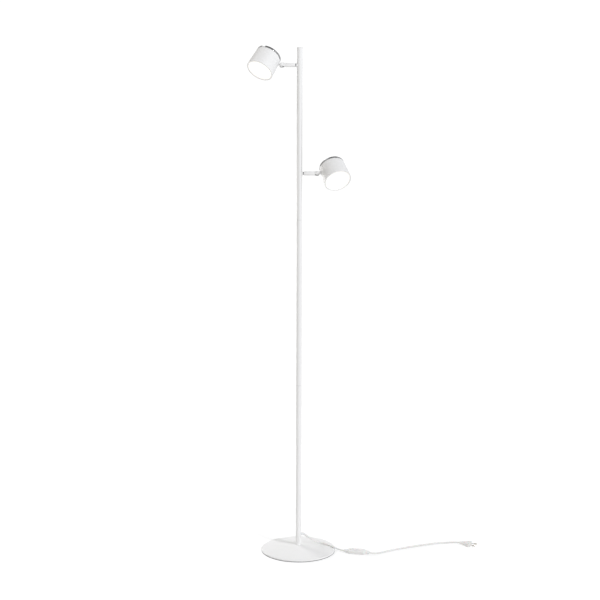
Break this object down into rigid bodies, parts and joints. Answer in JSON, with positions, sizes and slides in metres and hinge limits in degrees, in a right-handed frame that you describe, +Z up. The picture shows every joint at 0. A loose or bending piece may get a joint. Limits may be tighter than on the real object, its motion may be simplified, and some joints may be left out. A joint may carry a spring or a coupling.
{
  "type": "adjustable arm floor lamp",
  "caption": "Slim white floor lamp: round conical base, straight pole, two short arms that turn at the pole, each with a tilting round spot head.",
  "frame": {"origin": "on the floor, on the pole's axis, at the centre of the base pad's lower face", "axes": "+Z up along the pole; +X from the pole towards the lower arm; +Y to the rear"},
  "size_m": [0.6969, 0.222, 1.5037],
  "materials": {
    "white_paint": "satin powder coat",
    "cast_iron": "as cast",
    "zinc_steel": "zinc plated",
    "foam_pad": "fine cell foam",
    "fastener_steel": "zinc plated",
    "white_pvc": "soft satin",
    "white_plastic": "fine spark texture",
    "pin_brass": "nickel plated",
    "bezel_plastic": "satin",
    "chrome": "polished",
    "nylon": "moulded",
    "reflector_plastic": "high gloss",
    "led_board": "white solder mask",
    "heat_sink": "as cast",
    "opal_diffuser": "opal, lit"
  },
  "bodies": {
    "stand": {"base_cover": "white_paint", "base_weight": "cast_iron", "base_plate": "zinc_steel", "base_pad": "foam_pad", "base_screws": "fastener_steel", "pole_stud": "fastener_steel", "base_washer": "fastener_steel", "base_nut": "fastener_steel", "pole_foot": "zinc_steel", "pole_lower": "white_paint", "lower_joiner": "zinc_steel", "pole_middle": "white_paint", "upper_joiner": "zinc_steel", "pole_upper": "white_paint", "pole_cap": "white_paint", "cable_gland": "white_pvc", "inner_cable": "white_pvc", "upper_arm_socket": "white_paint", "lower_arm_socket": "white_paint", "cord_to_switch": "white_pvc", "switch_base": "white_plastic", "switch_cover": "white_plastic", "switch_screws": "fastener_steel", "cord_to_plug": "white_pvc", "plug_body": "white_plastic", "plug_pins": "pin_brass"},
    "upper_arm": {"upper_arm_tube": "white_paint", "upper_arm_ferrule": "chrome", "upper_arm_clip": "fastener_steel", "upper_knuckle_fork": "white_paint", "upper_knuckle_screw": "white_paint", "upper_knuckle_nut": "chrome", "upper_knuckle_washers": "nylon"},
    "upper_head": {"upper_head_tongue": "white_paint", "upper_head_shell": "white_paint", "upper_head_bezel": "bezel_plastic", "upper_head_diffuser": "opal_diffuser", "upper_head_reflector": "reflector_plastic", "upper_head_led_board": "led_board", "upper_head_heat_sink": "heat_sink", "upper_head_back_plate": "chrome", "upper_head_screws": "fastener_steel"},
    "lower_arm": {"lower_arm_tube": "white_paint", "lower_arm_ferrule": "chrome", "lower_arm_clip": "fastener_steel", "lower_knuckle_fork": "white_paint", "lower_knuckle_screw": "white_paint", "lower_knuckle_nut": "chrome", "lower_knuckle_washers": "nylon"},
    "lower_head": {"lower_head_tongue": "white_paint", "lower_head_shell": "white_paint", "lower_head_bezel": "bezel_plastic", "lower_head_diffuser": "opal_diffuser", "lower_head_reflector": "reflector_plastic", "lower_head_led_board": "led_board", "lower_head_heat_sink": "heat_sink", "lower_head_back_plate": "chrome", "lower_head_screws": "fastener_steel"},
    "rocker": {"switch_rocker": "white_plastic"}
  },
  "joints": [
    {"name": "upper_arm_roll", "type": "hinge", "parent": "stand", "child": "upper_arm", "pos_m": [0, 0, 1.449], "axis": [-1, 0, 0], "range_deg": [-203.5, 126.5]},
    {"name": "upper_head_tilt", "type": "hinge", "parent": "upper_arm", "child": "upper_head", "pos_m": [-0.052, 0, 1.449], "axis": [0, 0.7826, -0.6225], "range_deg": [-54.5, 65.5]},
    {"name": "lower_arm_roll", "type": "hinge", "parent": "stand", "child": "lower_arm", "pos_m": [0, 0, 1.139], "axis": [1, 0, 0], "range_deg": [-116, 214]},
    {"name": "lower_head_tilt", "type": "hinge", "parent": "lower_arm", "child": "lower_head", "pos_m": [0.052, 0, 1.139], "axis": [0, -0.6561, 0.7547], "range_deg": [-46, 74]},
    {"name": "switch_rock", "type": "hinge", "parent": "stand", "child": "rocker", "pos_m": [0.16734, -0.03024, 0.0106], "axis": [0.2079, 0.9781, 0], "range_deg": [-16, 0]}
  ]
}
